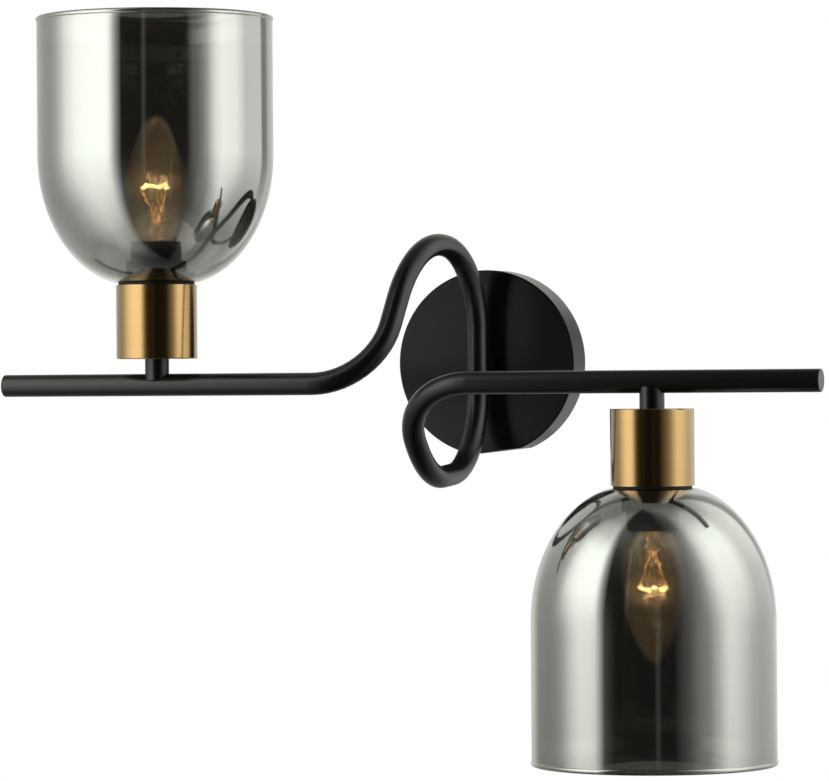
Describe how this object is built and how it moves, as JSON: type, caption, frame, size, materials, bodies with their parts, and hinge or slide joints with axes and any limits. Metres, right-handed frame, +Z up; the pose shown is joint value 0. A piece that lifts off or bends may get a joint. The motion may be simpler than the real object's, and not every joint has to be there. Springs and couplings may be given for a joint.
{
  "type": "double arm wall sconce",
  "caption": "Wall light with a looped bent tube on a round wall plate, carrying one upright and one hanging lamp with glass bell shades.",
  "frame": {"origin": "centre of the wall plate's back on the wall plane, at the middle of the wall screw slots", "axes": "+Z up, +Y into the wall, +X to the right as seen from the room; the arms run along X"},
  "size_m": [0.46, 0.22, 0.3966],
  "materials": {
    "black_powder_coat": "satin",
    "antique_brass": "brushed",
    "plain_brass": "bright",
    "zinc_steel": "zinc plated",
    "white_plastic": "matte",
    "black_plastic": "matte",
    "black_insulator": "vitreous black",
    "cable_sheath": "matte",
    "black_rubber": "matte",
    "clear_silicone": "translucent",
    "smoke_glass": "smoke grey, semi-mirrored",
    "clear_glass": "clear",
    "nickel_cap": "nickel plated",
    "lead_wire": "drawn wire",
    "hot_filament": "glowing when lit"
  },
  "bodies": {
    "fixture": {"wall_plate": "black_powder_coat", "mounting_bracket": "zinc_steel", "rim_lock_screws": "zinc_steel", "plate_stem": "black_powder_coat", "stem_washer": "zinc_steel", "stem_nut": "zinc_steel", "terminal_block": "white_plastic", "terminal_screws": "zinc_steel", "earth_screw": "plain_brass", "arm_tube": "black_powder_coat", "end_plug_upper": "black_powder_coat", "cable_upper": "cable_sheath", "lamp_stem_upper": "black_powder_coat", "lamp_cup_upper": "antique_brass", "lamp_washer_upper": "zinc_steel", "lamp_nut_upper": "zinc_steel", "holder_body_upper": "black_plastic", "holder_shell_upper": "plain_brass", "holder_tongue_upper": "plain_brass", "seat_disc_upper": "black_powder_coat", "shade_gasket_upper": "black_rubber", "glass_shade_upper": "smoke_glass", "end_plug_lower": "black_powder_coat", "cable_lower": "cable_sheath", "lamp_stem_lower": "black_powder_coat", "lamp_cup_lower": "antique_brass", "lamp_washer_lower": "zinc_steel", "lamp_nut_lower": "zinc_steel", "holder_body_lower": "black_plastic", "holder_shell_lower": "plain_brass", "holder_tongue_lower": "plain_brass", "seat_disc_lower": "black_powder_coat", "shade_gasket_lower": "black_rubber", "glass_shade_lower": "smoke_glass"},
    "bulb_travel_upper": {"bulb_contact_upper": "nickel_cap"},
    "bulb_upper": {"bulb_glass_upper": "clear_glass", "bulb_cap_upper": "nickel_cap", "bulb_insulator_upper": "black_insulator", "bulb_mount_upper": "clear_glass", "bulb_support_upper": "lead_wire", "bulb_filament_upper": "hot_filament"},
    "ring_travel_upper": {"shade_washer_upper": "clear_silicone"},
    "ring_upper": {"shade_ring_upper": "black_plastic"},
    "bulb_travel_lower": {"bulb_contact_lower": "nickel_cap"},
    "bulb_lower": {"bulb_glass_lower": "clear_glass", "bulb_cap_lower": "nickel_cap", "bulb_insulator_lower": "black_insulator", "bulb_mount_lower": "clear_glass", "bulb_support_lower": "lead_wire", "bulb_filament_lower": "hot_filament"},
    "ring_travel_lower": {"shade_washer_lower": "clear_silicone"},
    "ring_lower": {"shade_ring_lower": "black_plastic"}
  },
  "joints": [
    {"name": "bulb_travel_upper", "type": "slide", "parent": "fixture", "child": "bulb_travel_upper", "axis": [0, 0, 1], "range_m": [0, 0.01128]},
    {"name": "bulb_turn_upper", "type": "hinge", "parent": "bulb_travel_upper", "child": "bulb_upper", "pos_m": [-0.1395, -0.156, 0.0428], "axis": [0, 0, 1], "range_deg": [0, 1440]},
    {"name": "ring_travel_upper", "type": "slide", "parent": "fixture", "child": "ring_travel_upper", "axis": [0, 0, 1], "range_m": [0, 0.008]},
    {"name": "ring_turn_upper", "type": "hinge", "parent": "ring_travel_upper", "child": "ring_upper", "pos_m": [-0.1395, -0.156, 0.0428], "axis": [0, 0, 1], "range_deg": [0, 1440]},
    {"name": "bulb_travel_lower", "type": "slide", "parent": "fixture", "child": "bulb_travel_lower", "axis": [0, 0, -1], "range_m": [0, 0.01128]},
    {"name": "bulb_turn_lower", "type": "hinge", "parent": "bulb_travel_lower", "child": "bulb_lower", "pos_m": [0.1395, -0.156, -0.0648], "axis": [0, 0, -1], "range_deg": [0, 1440]},
    {"name": "ring_travel_lower", "type": "slide", "parent": "fixture", "child": "ring_travel_lower", "axis": [0, 0, -1], "range_m": [0, 0.008]},
    {"name": "ring_turn_lower", "type": "hinge", "parent": "ring_travel_lower", "child": "ring_lower", "pos_m": [0.1395, -0.156, -0.0648], "axis": [0, 0, -1], "range_deg": [0, 1440]}
  ],
  "couplings": [
    {"joint": "bulb_turn_upper", "follows": "bulb_travel_upper", "rad_per_m": 2228.1},
    {"joint": "ring_turn_upper", "follows": "ring_travel_upper", "rad_per_m": 3141.6},
    {"joint": "bulb_turn_lower", "follows": "bulb_travel_lower", "rad_per_m": 2228.1},
    {"joint": "ring_turn_lower", "follows": "ring_travel_lower", "rad_per_m": 3141.6}
  ]
}
